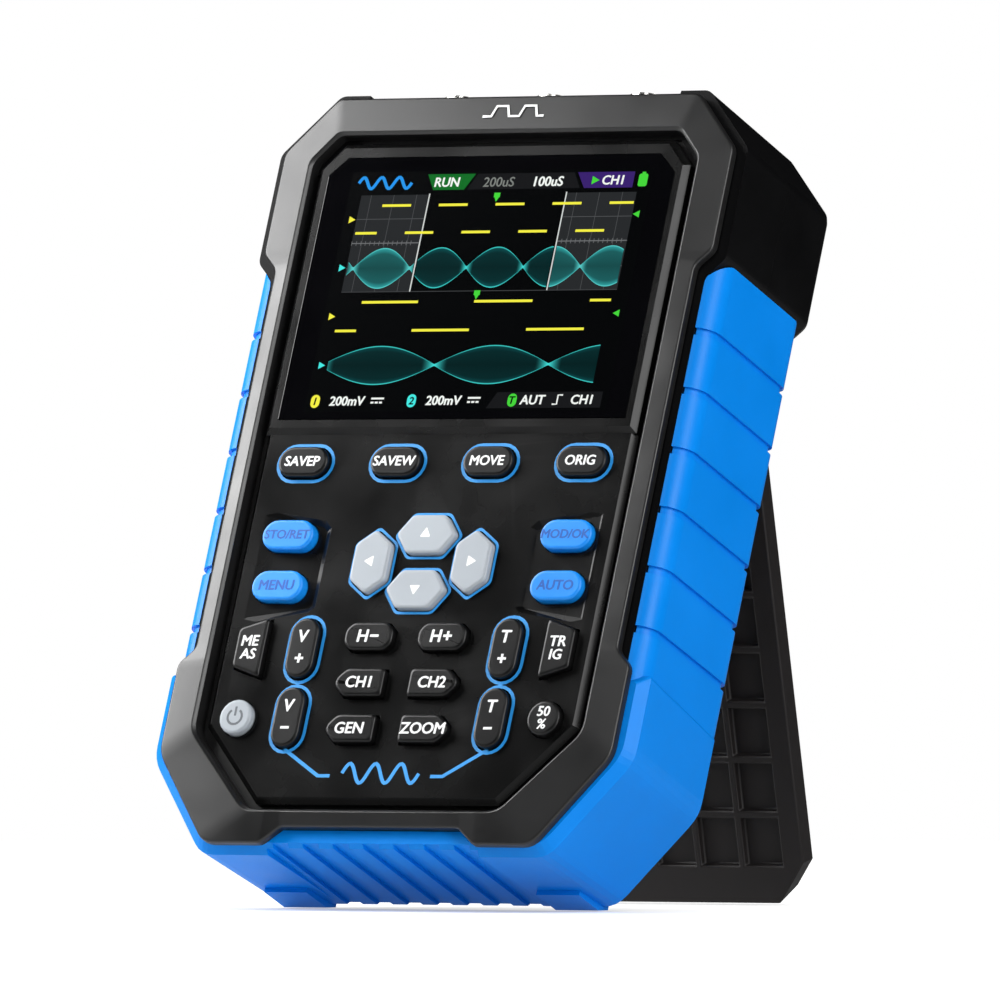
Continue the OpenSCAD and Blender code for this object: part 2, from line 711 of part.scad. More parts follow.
module buzzer() {
    color("#17181a") in_place() difference() {
        peg(cell_w / 2 + 7, inner_low + 36, 6, board_d + board_t, board_d + board_t + 6);
        peg(cell_w / 2 + 7, inner_low + 36, 1, board_d + board_t + 4, board_d + board_t + 7);
    }
}

// ---- fasteners ----

module screw(x, z, d0, d1, r, head_r, head_t) {
    difference() {
        union() {
            peg(x, z, r, d0, d1);
            peg(x, z, head_r, d1, d1 + head_t);
        }
        translate([x, d1 + head_t + eps, z]) rotate([90, 0, 0]) cylinder(r = 1, h = 0.9, $fn = 6);
    }
}

module case_screws() {
    color("#3c3e42") in_place() for (p = screw_xz)
        screw(p[0], p[1], panel_back + ledge_t + 1, cover_rear - wall - 1.4, 0.9, screw_head_r, 1.6);
}

module board_screws() {
    color(steel) in_place() for (p = board_xz)
        screw(p[0], p[1], skirt_end + 1.2, board_d + board_t, 0.9, 1.9, 1.2);
}

module stand_pins() {
    color(steel) in_place() for (s = [-1, 1])
        translate([s * (pocket_hw + hinge_wall - pin_l / 2), hinge_d, hinge_z])
            rotate([0, 90, 0]) cylinder(r = pin_d / 2, h = pin_l, center = true);
}

// ---- stand ----

tile_x = 10.3;
tile_z = 11.6;
tile_rib = 2;
tile_depth = 1.6;
stand_border = 3.5;
stand_corner = [6.5, 8.7];

// the stand hanging from its pin, inner face towards the case
module stand_shape() {
    hw = stand_w / 2;
    r = stand_t / 2;
    low = -stand_l - r;
    cols = floor((stand_w - 2 * stand_border + tile_rib) / tile_x);
    rows = floor((stand_l - 14) / tile_z);
    difference() {
        union() {
            rotate([0, 90, 0]) cylinder(r = r, h = stand_w, center = true);
            translate([0, 0, -stand_l]) rotate([0, 90, 0])
                cylinder(r = r, h = stand_w - 2 * stand_corner[0], center = true);
            slab(mirrored([[hw, 0], [hw, low + stand_corner[1]],
                [hw - stand_corner[0], low + r]]), -r, r);
        }
        for (i = [0:cols - 1]) for (j = [0:rows - 1]) {
            x = (i - (cols - 1) / 2) * tile_x;
            z = -stand_l + stand_border + 2 + (j + 0.5) * tile_z;
            if (abs(x) + tile_x / 2 < hw - 6 || j > 0)
                box(x - (tile_x - tile_rib) / 2, x + (tile_x - tile_rib) / 2, -r - 1,
                    -r + tile_depth, z - (tile_z - tile_rib) / 2, z + (tile_z - tile_rib) / 2);
        }
        for (s = [-1, 1]) translate([s * hw, 0, 0]) rotate([0, 90, 0])
            cylinder(r = pin_d / 2 + pin_fit, h = 2 * (pin_l - hinge_wall), center = true);
    }
}

module kickstand() {
    color(black) in_place() translate([0, hinge_d, hinge_z]) rotate([stand_open, 0, 0]) stand_shape();
}

front_bezel();
badge_plate();
front_panel();
screen_glass();
lcd_module();
lcd_ribbon();
middle_frame();
rear_cover();
grip_sleeve();
keypad_mat();
keypad_board();
main_board();
battery_pack();
shield_can(-18);  // shield_can_ch1
shield_can(18);  // shield_can_ch2
bnc_jack(-bnc_pitch);  // bnc_jack_ch1
bnc_jack(0);  // bnc_jack_ch2
bnc_jack(bnc_pitch);  // bnc_jack_gen
bnc_insulators();
bnc_contacts();
bnc_nuts();
usb_c_port();
buzzer();
case_screws();
board_screws();
stand_pins();
kickstand();
for (i = [0:len(KEY_NODES) - 1]) key(i);
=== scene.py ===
import json
import math

import bmesh
import bpy
from mathutils import Matrix, Vector


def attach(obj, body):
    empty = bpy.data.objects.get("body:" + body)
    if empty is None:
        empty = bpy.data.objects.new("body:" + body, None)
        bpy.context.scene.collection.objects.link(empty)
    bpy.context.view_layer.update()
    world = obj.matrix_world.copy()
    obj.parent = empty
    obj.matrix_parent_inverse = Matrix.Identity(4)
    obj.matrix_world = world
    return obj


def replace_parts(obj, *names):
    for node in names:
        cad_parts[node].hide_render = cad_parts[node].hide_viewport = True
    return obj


# A handheld tablet oscilloscope on its stand. Shapes are given in the case's own axes in
# millimetres: x across, y depth behind the key tops, z up the case. place puts them in the
# row frame, in metres.

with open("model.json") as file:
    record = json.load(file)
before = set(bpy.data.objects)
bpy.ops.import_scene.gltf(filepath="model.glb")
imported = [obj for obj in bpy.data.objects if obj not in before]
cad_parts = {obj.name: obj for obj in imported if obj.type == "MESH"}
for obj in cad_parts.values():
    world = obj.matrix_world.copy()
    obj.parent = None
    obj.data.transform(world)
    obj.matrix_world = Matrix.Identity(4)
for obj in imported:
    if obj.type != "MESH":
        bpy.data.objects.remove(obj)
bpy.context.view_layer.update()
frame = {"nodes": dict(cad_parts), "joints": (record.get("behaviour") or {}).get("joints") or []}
nodes = frame["nodes"]
joints = {j["name"]: j for j in frame["joints"]}
MM = 0.001

HINGE_D = 36.65        # place of the stand's hinge in the case's own axes
HINGE_Z = 137.0
press_axis = joints["key_menu_press"]["axis"]
lean = math.atan2(-press_axis[2], press_axis[1])
place = (Matrix.Translation(Vector(joints["stand_hinge"]["pos_m"]))
         @ Matrix.Rotation(-lean, 4, "X")
         @ Matrix.Translation(Vector((0, -HINGE_D * MM, -HINGE_Z * MM)))
         @ Matrix.Scale(MM, 4))


# ---- camera, light and floor ----

CAMERA_AIM = Vector((-0.0015, -0.0007, 0.0830))
CAMERA_AZIMUTH = math.radians(30.36)
CAMERA_ELEVATION = math.radians(-0.31)
CAMERA_DISTANCE = 3.53
CAMERA_LENS = 622.8


def direction(azimuth, elevation):
    """Unit vector from the object towards that azimuth and elevation, in radians."""
    return Vector((math.sin(azimuth) * math.cos(elevation),
                   -math.cos(azimuth) * math.cos(elevation), math.sin(elevation)))


def link(obj):
    bpy.context.scene.collection.objects.link(obj)
    return obj


def make_camera():
    data = bpy.data.cameras.new("camera")
    data.lens = CAMERA_LENS
    data.clip_end = 50
    cam = link(bpy.data.objects.new("camera", data))
    back = direction(CAMERA_AZIMUTH, CAMERA_ELEVATION)
    cam.location = CAMERA_AIM + back * CAMERA_DISTANCE
    cam.rotation_euler = (-back).to_track_quat("-Z", "Y").to_euler()
    bpy.context.scene.camera = cam


def softbox(name, towards, distance, size, power, colour=(1, 1, 1)):
    """A rectangular light of size (width, height), shining on the middle of the object."""
    data = bpy.data.lights.new(name, "AREA")
    data.shape = "RECTANGLE"
    data.size, data.size_y = size
    data.energy = power
    data.color = colour
    lamp = link(bpy.data.objects.new(name, data))
    towards = Vector(towards).normalized()
    lamp.location = Vector((0, 0, 0.08)) + towards * distance
    lamp.rotation_euler = (-towards).to_track_quat("-Z", "Y").to_euler()


def make_lights():
    softbox("key_light", (-0.84, -0.28, 0.52), 0.42, (0.22, 0.36), 3.2)
    softbox("rim_light", (0.86, -0.40, 0.42), 1.0, (0.4, 0.9), 9.0)
    softbox("front_light", (0.02, -0.74, 0.67), 1.2, (0.26, 0.26), 1.5)
    world = bpy.data.worlds.new("studio")
    bpy.context.scene.world = world
    world.use_nodes = True
    tree = world.node_tree
    background = tree.nodes["Background"]
    path = tree.nodes.new("ShaderNodeLightPath")
    mix = tree.nodes.new("ShaderNodeMix")
    mix.data_type = "RGBA"
    mix.inputs["A"].default_value = (0.012, 0.012, 0.013, 1)
    mix.inputs["B"].default_value = (1, 1, 1, 1)
    tree.links.new(path.outputs["Is Camera Ray"], mix.inputs["Factor"])
    tree.links.new(mix.outputs["Result"], background.inputs["Color"])
    bpy.context.scene.view_settings.view_transform = "Standard"


def make_floor():
    mesh = bpy.data.meshes.new("floor")
    radius, sides = 0.95, 64
    rim = [(radius * math.cos(math.tau * i / sides), radius * math.sin(math.tau * i / sides), 0)
           for i in range(sides)]
    mesh.from_pydata(rim, [], [tuple(range(sides))])
    floor = link(bpy.data.objects.new("floor", mesh))
    floor.location.z = -0.0002
    mat = bpy.data.materials.new("floor_white")
    mat.use_nodes = True
    shader = mat.node_tree.nodes["Principled BSDF"]
    shader.inputs["Base Color"].default_value = (0.6, 0.6, 0.6, 1)
    shader.inputs["Roughness"].default_value = 0.25
    shader.inputs["Emission Color"].default_value = (1, 1, 1, 1)
    tree = mat.node_tree
    # Camera rays see the floor glow, dimmed by ambient occlusion near the object: a painted contact shadow
    # under the case.
    shade = tree.nodes.new("ShaderNodeAmbientOcclusion")
    shade.inputs["Distance"].default_value = 0.05
    painted_shadow = tree.nodes.new("ShaderNodeMapRange")
    painted_shadow.inputs["To Min"].default_value = 0.35
    painted_shadow.inputs["To Max"].default_value = 1.05
    tree.links.new(shade.outputs["AO"], painted_shadow.inputs["Value"])
    path = tree.nodes.new("ShaderNodeLightPath")
    glow = tree.nodes.new("ShaderNodeMix")
    glow.inputs["A"].default_value = 0.2
    tree.links.new(path.outputs["Is Camera Ray"], glow.inputs["Factor"])
    tree.links.new(painted_shadow.outputs["Result"], glow.inputs["B"])
    tree.links.new(glow.outputs["Result"], shader.inputs["Emission Strength"])
    mesh.materials.append(mat)


# ---- materials ----

def srgb(r, g, b):
    """Linear colour from 0-255 display values."""
    return tuple(((c / 255 + 0.055) / 1.055) ** 2.4 if c > 10 else c / 255 / 12.92 for c in (r, g, b))


def surface(name, colour, rough, mottle=0.12, grain=0.25, bump=0.02, metallic=0.0, coat=0.0,
            specular=0.5, sheen=0.0, wear=0.0, rough_range=0.06):
    """A procedural finish: mottled colour, uneven gloss, a moulded grain and paler worn edges.
    grain is the size of the texture and bump its height, in millimetres."""
    mat = bpy.data.materials.new(name)
    mat.use_nodes = True
    tree = mat.node_tree
    shader = tree.nodes["Principled BSDF"]
    shader.inputs["Metallic"].default_value = metallic
    shader.inputs["Coat Weight"].default_value = coat
    shader.inputs["Specular IOR Level"].default_value = specular
    shader.inputs["Sheen Weight"].default_value = sheen
    coords = tree.nodes.new("ShaderNodeTexCoord")

    def noise(scale, detail):
        n = tree.nodes.new("ShaderNodeTexNoise")
        n.inputs["Scale"].default_value = scale
        n.inputs["Detail"].default_value = detail
        tree.links.new(coords.outputs["Object"], n.inputs["Vector"])
        return n.outputs["Fac"]

    cloud = noise(55, 4)
    fine = noise(1 / (grain * MM), 2)

    ramp = tree.nodes.new("ShaderNodeValToRGB")
    low = [c * (1 - mottle) for c in colour]
    high = [min(1, c * (1 + mottle)) for c in colour]
    ramp.color_ramp.elements[0].position = 0.3
    ramp.color_ramp.elements[0].color = (*low, 1)
    ramp.color_ramp.elements[1].position = 0.7
    ramp.color_ramp.elements[1].color = (*high, 1)
    tree.links.new(cloud, ramp.inputs["Fac"])
    tint = ramp.outputs["Color"]
    if wear:
        geometry = tree.nodes.new("ShaderNodeNewGeometry")
        edge = tree.nodes.new("ShaderNodeMapRange")
        edge.inputs["From Min"].default_value = 0.52
        edge.inputs["From Max"].default_value = 0.62
        edge.inputs["To Max"].default_value = wear
        tree.links.new(geometry.outputs["Pointiness"], edge.inputs["Value"])
        mix = tree.nodes.new("ShaderNodeMix")
        mix.data_type = "RGBA"
        mix.inputs["B"].default_value = (*[min(1, c * 2.2 + 0.02) for c in colour], 1)
        tree.links.new(edge.outputs["Result"], mix.inputs["Factor"])
        tree.links.new(tint, mix.inputs["A"])
        tint = mix.outputs["Result"]
    tree.links.new(tint, shader.inputs["Base Color"])

    gloss = tree.nodes.new("ShaderNodeMapRange")
    gloss.inputs["From Min"].default_value = 0.3
    gloss.inputs["From Max"].default_value = 0.7
    gloss.inputs["To Min"].default_value = max(0.02, rough - rough_range)
    gloss.inputs["To Max"].default_value = rough + rough_range
    tree.links.new(cloud, gloss.inputs["Value"])
    tree.links.new(gloss.outputs["Result"], shader.inputs["Roughness"])

    if bump:
        relief = tree.nodes.new("ShaderNodeBump")
        relief.inputs["Strength"].default_value = 0.35
        relief.inputs["Distance"].default_value = bump * MM
        tree.links.new(fine, relief.inputs["Height"])
        tree.links.new(relief.outputs["Normal"], shader.inputs["Normal"])
    return mat


def glowing(name):
    """The lit display: each face's own colour shines through a glossy black face."""
    mat = bpy.data.materials.new(name)
    mat.use_nodes = True
    tree = mat.node_tree
    shader = tree.nodes["Principled BSDF"]
    shader.inputs["Base Color"].default_value = (0, 0, 0, 1)
    shader.inputs["Roughness"].default_value = 0.12
    shader.inputs["Specular IOR Level"].default_value = 0.2
    shader.inputs["Emission Strength"].default_value = 1
    tint = tree.nodes.new("ShaderNodeVertexColor")
    tint.layer_name = "tint"
    tree.links.new(tint.outputs["Color"], shader.inputs["Emission Color"])
    return mat


BLUE_RUBBER = srgb(2, 132, 230)
M = {
    "bezel": surface("bezel_plastic", (0.010, 0.010, 0.0102), 0.36, bump=0.010, wear=0.2),
    "panel": surface("panel_plastic", (0.0028, 0.0028, 0.0028), 0.27, bump=0.006, wear=0.15,
                     specular=0.22),
    "housing": surface("housing_plastic", (0.0022, 0.0022, 0.0025), 0.46, grain=0.35, bump=0.02,
                       specular=0.12),
    "stand": surface("stand_plastic", (0.0075, 0.0058, 0.0058), 0.55, specular=0.3, grain=0.35,
                     bump=0.02, wear=0.2),
    "glass": surface("screen_glass", (0.0015, 0.0015, 0.002), 0.07, bump=0, rough_range=0.02,
                     specular=0.25),
    "lcd": surface("lcd_metal", (0.30, 0.31, 0.32), 0.35, metallic=0.9, bump=0.01),
    "flex": surface("flex_film", (0.52, 0.22, 0.06), 0.35, bump=0.01, coat=0.4),
    "badge": surface("badge_foil", (0.005, 0.004, 0.0065), 0.24, bump=0.004, specular=0.3),
    "sleeve": surface("sleeve_rubber", BLUE_RUBBER, 0.38, mottle=0.04, grain=0.3, bump=0.02,
                      specular=0.16),
    "silicone": surface("silicone", (0.52, 0.53, 0.55), 0.6, bump=0.01, sheen=0.2),
    "board": surface("board_green", (0.02, 0.11, 0.05), 0.35, mottle=0.3, coat=0.4),
    "battery": surface("battery_wrap", (0.05, 0.15, 0.40), 0.3, coat=0.3),
    "tin": surface("shield_tin", (0.55, 0.56, 0.58), 0.3, metallic=1.0, bump=0.008),
    "nickel": surface("nickel", (0.62, 0.61, 0.58), 0.22, metallic=1.0, bump=0.006),
    "ptfe": surface("ptfe", (0.80, 0.79, 0.74), 0.45, bump=0.01),
    "gold": surface("gold", (0.85, 0.60, 0.22), 0.2, metallic=1.0, bump=0.005),
    "screw": surface("screw_black", (0.04, 0.04, 0.045), 0.35, metallic=0.8, bump=0.01),
    "key_black": surface("key_black", (0.003, 0.003, 0.0032), 0.36, bump=0.010, wear=0.3,
                         specular=0.3),
    "key_blue": surface("key_blue", srgb(10, 140, 240), 0.42, mottle=0.05, bump=0.012),
    "key_grey": surface("key_grey", srgb(168, 175, 182), 0.45, mottle=0.04, bump=0.012),
    "ink_white": surface("ink_white", srgb(244, 244, 244), 0.5, mottle=0.03, bump=0.004),
    "ink_blue": surface("ink_blue", srgb(38, 150, 228), 0.5, mottle=0.04, bump=0.004),
    "ink_deep": surface("ink_deep_blue", srgb(6, 84, 176), 0.5, mottle=0.04, bump=0.004),
    "ink_grey": surface("ink_grey", srgb(95, 100, 106), 0.5, mottle=0.04, bump=0.004),
    "light": glowing("screen_light"),
}

# ---- CAD pieces that are shown as they are: material, slot and edge rounding in mm ----

NODE_LOOKS = {
    "badge_plate": ("badge", "badge_foil", 0.1),
    "front_panel": ("panel", "panel_plastic", 0.15),
    "screen_glass": ("glass", "glass_black", 0.15),
    "lcd_module": ("lcd", "lcd_metal", 0.2),
    "lcd_ribbon": ("flex", "flex_film", 0),
    "middle_frame": ("housing", "housing_plastic", 0.4),
    "rear_cover": ("housing", "housing_plastic", 0.6),
    "grip_sleeve": ("sleeve", "sleeve_rubber", 0.25),
    "keypad_mat": ("silicone", "silicone", 0.2),
    "keypad_board": ("board", "board", 0),
    "main_board": ("board", "board", 0),
    "battery_pack": ("battery", "battery_wrap", 0.8),
    "shield_can_ch1": ("tin", "shield_tin", 0.1),
    "shield_can_ch2": ("tin", "shield_tin", 0.1),
    "bnc_jack_ch1": ("nickel", "nickel", 0.15),
    "bnc_jack_ch2": ("nickel", "nickel", 0.15),
    "bnc_jack_gen": ("nickel", "nickel", 0.15),
    "bnc_insulators": ("ptfe", "ptfe", 0.1),
    "bnc_contacts": ("gold", "gold", 0.1),
    "bnc_nuts": ("nickel", "nickel", 0.1),
    "usb_c_port": ("nickel", "nickel", 0.08),
    "buzzer": ("screw", "key_black", 0.2),
    "case_screws": ("screw", "screw_black", 0.1),
    "board_screws": ("nickel", "nickel", 0.1),
    "stand_pins": ("nickel", "nickel", 0.15),
}


def soften(obj, radius):
    """Rounds the sharp edges of a CAD piece, without touching its mesh."""
    weld = obj.modifiers.new("weld", "WELD")
    weld.merge_threshold = 2e-6
    flat = obj.modifiers.new("flat", "DECIMATE")
    flat.decimate_type = "DISSOLVE"
    flat.angle_limit = math.radians(0.6)
    bevel = obj.modifiers.new("round", "BEVEL")
    bevel.width = radius * MM
    bevel.segments = 2
    bevel.limit_method = "ANGLE"
    bevel.angle_limit = math.radians(32)
    bevel.miter_outer = "MITER_ARC"
    normals = obj.modifiers.new("normals", "WEIGHTED_NORMAL")
    normals.keep_sharp = True


def dress_nodes():
    for name, (mat, slot, radius) in NODE_LOOKS.items():
        obj = nodes[name]
        obj.data.materials.clear()
        obj.data.materials.append(M[mat])
        if radius:
            soften(obj, radius)


# ---- outlines and meshes ----

CORNER_STEPS = 4


def mirrored(half):
    """An outline listed from top centre down the right side, closed by its mirror image."""
    return half + [(-x, z) for x, z in reversed(half)]


def octagon(hw, top, low, top_cut, low_cut):
    return mirrored([(hw - top_cut[0], top), (hw, top - top_cut[1]),
                     (hw, low + low_cut[1]), (hw - low_cut[0], low)])


def unit(x, z):
    size = math.hypot(x, z)
    return x / size, z / size


def inset(points, d):
    """The outline moved inward by d, with mitred corners; points run clockwise."""
    moved = []
    for i, (x, z) in enumerate(points):
        before = points[i - 1]
        after = points[(i + 1) % len(points)]
        ex, ez = unit(x - before[0], z - before[1])
        fx, fz = unit(after[0] - x, after[1] - z)
        m = (-ez, ex)
        k = (-fz, fx)
        scale = d / (1 + m[0] * k[0] + m[1] * k[1])
        moved.append((x - scale * (m[0] + k[0]), z - scale * (m[1] + k[1])))
    return moved


def soft(points, cuts):
    """The outline with rounded corners; each curve starts that corner's cut away from it."""
    n = len(points)
    curve = []
    for i, (x, z) in enumerate(points):
        cut = cuts[min(i, n - 1 - i)] if isinstance(cuts, list) else cuts
        before = points[i - 1]
        after = points[(i + 1) % n]
        bx, bz = unit(before[0] - x, before[1] - z)
        ax, az = unit(after[0] - x, after[1] - z)
        for step in range(CORNER_STEPS + 1):
            t = step / CORNER_STEPS
            u, v, w = (1 - t) ** 2, 2 * t * (1 - t), t * t
            curve.append((u * (x + cut * bx) + v * x + w * (x + cut * ax),
                          u * (z + cut * bz) + v * z + w * (z + cut * az)))
    return curve


def stadium(width, height, steps=10):
    """A bar with round ends, clockwise from its top right."""
    r = min(width, height) / 2
    dx, dz = width / 2 - r, height / 2 - r
    if dx >= dz:
        ends = ((dx, 0, 90), (-dx, 0, 270))
    else:
        ends = ((0, dz, 180), (0, -dz, 0))
    points = []
    for cx, cz, start in ends:
        for i in range(steps + 1):
            a = math.radians(start - 180 * i / steps)
            points.append((cx + r * math.cos(a), cz + r * math.sin(a)))
    return points


def shifted(points, x, z):
    return [(px + x, pz + z) for px, pz in points]


def loft(bm, rings, closed=False):
    """Skins rings of equal length, each (outline, depth); closed joins the last to the first."""
    rows = [[bm.verts.new((x, d, z)) for x, z in outline] for outline, d in rings]
    n = len(rows[0])
    pairs = list(zip(rows, rows[1:])) + ([(rows[-1], rows[0])] if closed else [])
    for a, b in pairs:
        for i in range(n):
            j = (i + 1) % n
            bm.faces.new((a[i], a[j], b[j], b[i]))
    if not closed:
        bm.faces.new(rows[0])
        bm.faces.new(list(reversed(rows[-1])))


def piece(name, bm, mat, body, at=place, crease=32):
    """Turns a mesh in case axes into a piece that rides on a body."""
    bmesh.ops.recalc_face_normals(bm, faces=bm.faces)
    mesh = bpy.data.meshes.new(name)
    bm.to_mesh(mesh)
    bm.free()
    mesh.transform(at)
    mesh.materials.append(M[mat])
    mesh.shade_smooth()
    mesh.set_sharp_from_angle(angle=math.radians(crease))
    obj = link(bpy.data.objects.new(name, mesh))
    obj.modifiers.new("normals", "WEIGHTED_NORMAL").keep_sharp = True
    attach(obj, body)
    return obj


# ---- sizes of the front, in mm ----

BEZEL_HW = 53.0
WAIST_HW = 49.5
CASE_TOP = 165.5
SHOULDER_Z = 131.0
HIP_Z = 40.5
WAIST_IN = 3.5
HIP_LOW_Z = 21.0
BEZEL_LOW = 1.6
NOTCH_Z = 5.1
NOTCH_HW = 20.7
TOE_HW = 38.5
PANEL_HW = 43.6
PANEL_LOW = 10.5
PANEL_TOP = 155.2
PANEL_GAP = 1.8
PANEL_FACE = 1.5
OPEN_HW = PANEL_HW + PANEL_GAP
CROWN_HW = OPEN_HW + 0.7
CROWN_TOP = PANEL_TOP + PANEL_GAP + 0.7
CROWN_LOW = PANEL_LOW - PANEL_GAP - 0.7
GLASS_FACE = 0.3
GLASS_TOP = PANEL_TOP - 3.4
GLASS_HEIGHT = 58
GLASS_LOW = GLASS_TOP - GLASS_HEIGHT

BEZEL = mirrored([(BEZEL_HW - 10.5, CASE_TOP), (BEZEL_HW, CASE_TOP - 12), (BEZEL_HW, SHOULDER_Z),
                  (WAIST_HW, SHOULDER_Z - WAIST_IN), (WAIST_HW, HIP_Z + WAIST_IN),
                  (BEZEL_HW, HIP_Z), (BEZEL_HW, HIP_LOW_Z), (TOE_HW, BEZEL_LOW),
                  (TOE_HW - 13.5, BEZEL_LOW), (NOTCH_HW, NOTCH_Z)])
CROWN = mirrored([(CROWN_HW - 5.6, CROWN_TOP), (CROWN_HW, CROWN_TOP - 6.4),
                  (CROWN_HW, SHOULDER_Z), (CROWN_HW, SHOULDER_Z - WAIST_IN),
                  (CROWN_HW, HIP_Z + WAIST_IN), (CROWN_HW, HIP_Z), (CROWN_HW, HIP_LOW_Z + 4.4),
                  (OPEN_HW - 15.6, CROWN_LOW), (TOE_HW - 13.5, CROWN_LOW),
                  (NOTCH_HW, CROWN_LOW)])
BEZEL_CUTS = [1.2, 1.4, 1.2, 1.2, 1.2, 1.2, 2.4, 2.4, 0.7, 0.7]


def make_bezel():
    def bezel(d):
        return soft(inset(BEZEL, d), BEZEL_CUTS)

    def crown(d):
        return soft(inset(CROWN, d), BEZEL_CUTS)

    bm = bmesh.new()
    loft(bm, [(crown(0.7), 4.2), (crown(0.7), 0.85), (crown(0.64), 0.62), (crown(0.12), 0.1),
              (crown(-0.1), 0.03), (bezel(0.55), 0.94), (bezel(0.28), 1.03), (bezel(0.08), 1.22),
              (bezel(0), 1.5), (bezel(0), 2.75), (bezel(0.06), 2.92), (bezel(0.2), 3.0),
              (bezel(2), 3.0), (crown(-1), 6.0), (crown(3.9), 6.0), (crown(3.9), 4.2)], closed=True)
    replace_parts(piece("bezel_frame", bm, "bezel", "case", crease=38), "front_bezel")


# ---- keys ----

OUTER_X = PANEL_HW - 7.5
WIDE_X = PANEL_HW - 10.9
PAIR_X = 23.8
INNER_X = 8.6
ROW1_X = 10.9
ROW1_Z = GLASS_LOW - 9.3
PAD_Z = 62.5
STORE_Z = 68.4
MENU_Z = 57.3
TOP_ROW = 46.2
MID_ROW = 36.2
LOW_ROW = 26.2
UP_Z = 43.7
DOWN_Z = 28.6

HEX_WIDE = [(-7, 0), (-3.9, 4.2), (3.9, 4.2), (7, 0), (3.9, -4.2), (-3.9, -4.2)]
HEX_TALL = [(0, 7), (4.2, 3.9), (4.2, -3.9), (0, -7), (-4.2, -3.9), (-4.2, 3.9)]
TAG = [(-5.6, 0.8), (-3.4, 3), (5.6, 3), (5.6, -3), (-3.4, -3), (-5.6, -0.8)]
TAG_BACK = [(-x, z) for x, z in reversed(TAG)]
H_SHAPE = [(-5.6, 1.4), (-4, 3), (4, 3), (5.6, 1.4), (5.6, -1.4), (4, -3), (-4, -3), (-5.6, -1.4)]
SIDE = [(-3.4, 4.2), (3.4, 6.4), (3.4, -6.4), (-3.4, -4.2)]
SIDE_BACK = [(-x, z) for x, z in reversed(SIDE)]

# name: (x, z, outline or (width, height) of an oval, finish)
KEYS = {
    "save_picture": (-OUTER_X + 3.4, ROW1_Z, (11.6, 6.5), "key_black"),
    "save_wave": (-ROW1_X, ROW1_Z, (11.6, 6.5), "key_black"),
    "move": (ROW1_X, ROW1_Z, (11.6, 6.5), "key_black"),
    "origin": (OUTER_X - 3.4, ROW1_Z, (11.6, 6.5), "key_black"),
    "store": (-WIDE_X, STORE_Z, (12.0, 6.5), "key_blue"),
    "menu": (-WIDE_X, MENU_Z, (12.0, 6.5), "key_blue"),
    "ok": (WIDE_X, STORE_Z, (12.0, 6.5), "key_blue"),
    "auto": (WIDE_X, MENU_Z, (12.0, 6.5), "key_blue"),
    "left": (-11.8, PAD_Z, HEX_TALL, "key_grey"),
    "right": (11.8, PAD_Z, HEX_TALL, "key_grey"),
    "up": (0, PAD_Z + 6, HEX_WIDE, "key_grey"),
    "down": (0, PAD_Z - 6, HEX_WIDE, "key_grey"),
    "measure": (-OUTER_X, UP_Z, SIDE, "key_black"),
    "trigger": (OUTER_X, UP_Z, SIDE_BACK, "key_black"),
    "v_up": (-PAIR_X, UP_Z, (6.5, 13.0), "key_black"),
    "v_down": (-PAIR_X, DOWN_Z, (6.5, 13.0), "key_black"),
    "t_up": (PAIR_X, UP_Z, (6.5, 13.0), "key_black"),
    "t_down": (PAIR_X, DOWN_Z, (6.5, 13.0), "key_black"),
    "h_minus": (-INNER_X, TOP_ROW, H_SHAPE, "key_black"),
    "h_plus": (INNER_X, TOP_ROW, H_SHAPE, "key_black"),
    "ch1": (-INNER_X, MID_ROW, TAG, "key_black"),
    "ch2": (INNER_X, MID_ROW, TAG_BACK, "key_black"),
    "gen": (-INNER_X, LOW_ROW, TAG, "key_black"),
    "zoom": (INNER_X, LOW_ROW, TAG_BACK, "key_black"),
    "power": (-OUTER_X, DOWN_Z, (7.5, 7.5), "key_grey"),
    "level": (OUTER_X, DOWN_Z, (7.5, 7.5), "key_black"),
}
KEY_RIM = 0.7          # width of the rounded rim of a cap
KEY_FLANGE = ((0.6, 5.1), (0.6, 4.3), (0, 4.28))


def key_outline(shape, grow):
    """A key's outline grown by that much, with rounded corners where it has any."""
    if isinstance(shape, tuple):
        return stadium(shape[0] + 2 * grow, shape[1] + 2 * grow)
    return soft(inset(shape, -grow), 0.9)


def make_keys():
    for name, (x, z, shape, finish) in KEYS.items():
        rings = [(grow, d) for grow, d in KEY_FLANGE]
        rings += [(-KEY_RIM * (1 - math.cos(a)), KEY_RIM * (1 - math.sin(a)) * 0.8)
                  for a in (math.radians(15 * i) for i in range(7))]
        bm = bmesh.new()
        loft(bm, [(shifted(key_outline(shape, grow), x, z), d) for grow, d in rings])
        cap = piece(f"cap_{name}", bm, finish, f"key_{name}_cap", crease=40)
        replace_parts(cap, f"key_{name}")


# ---- printed and lit artwork: thin closed shapes on a face ----

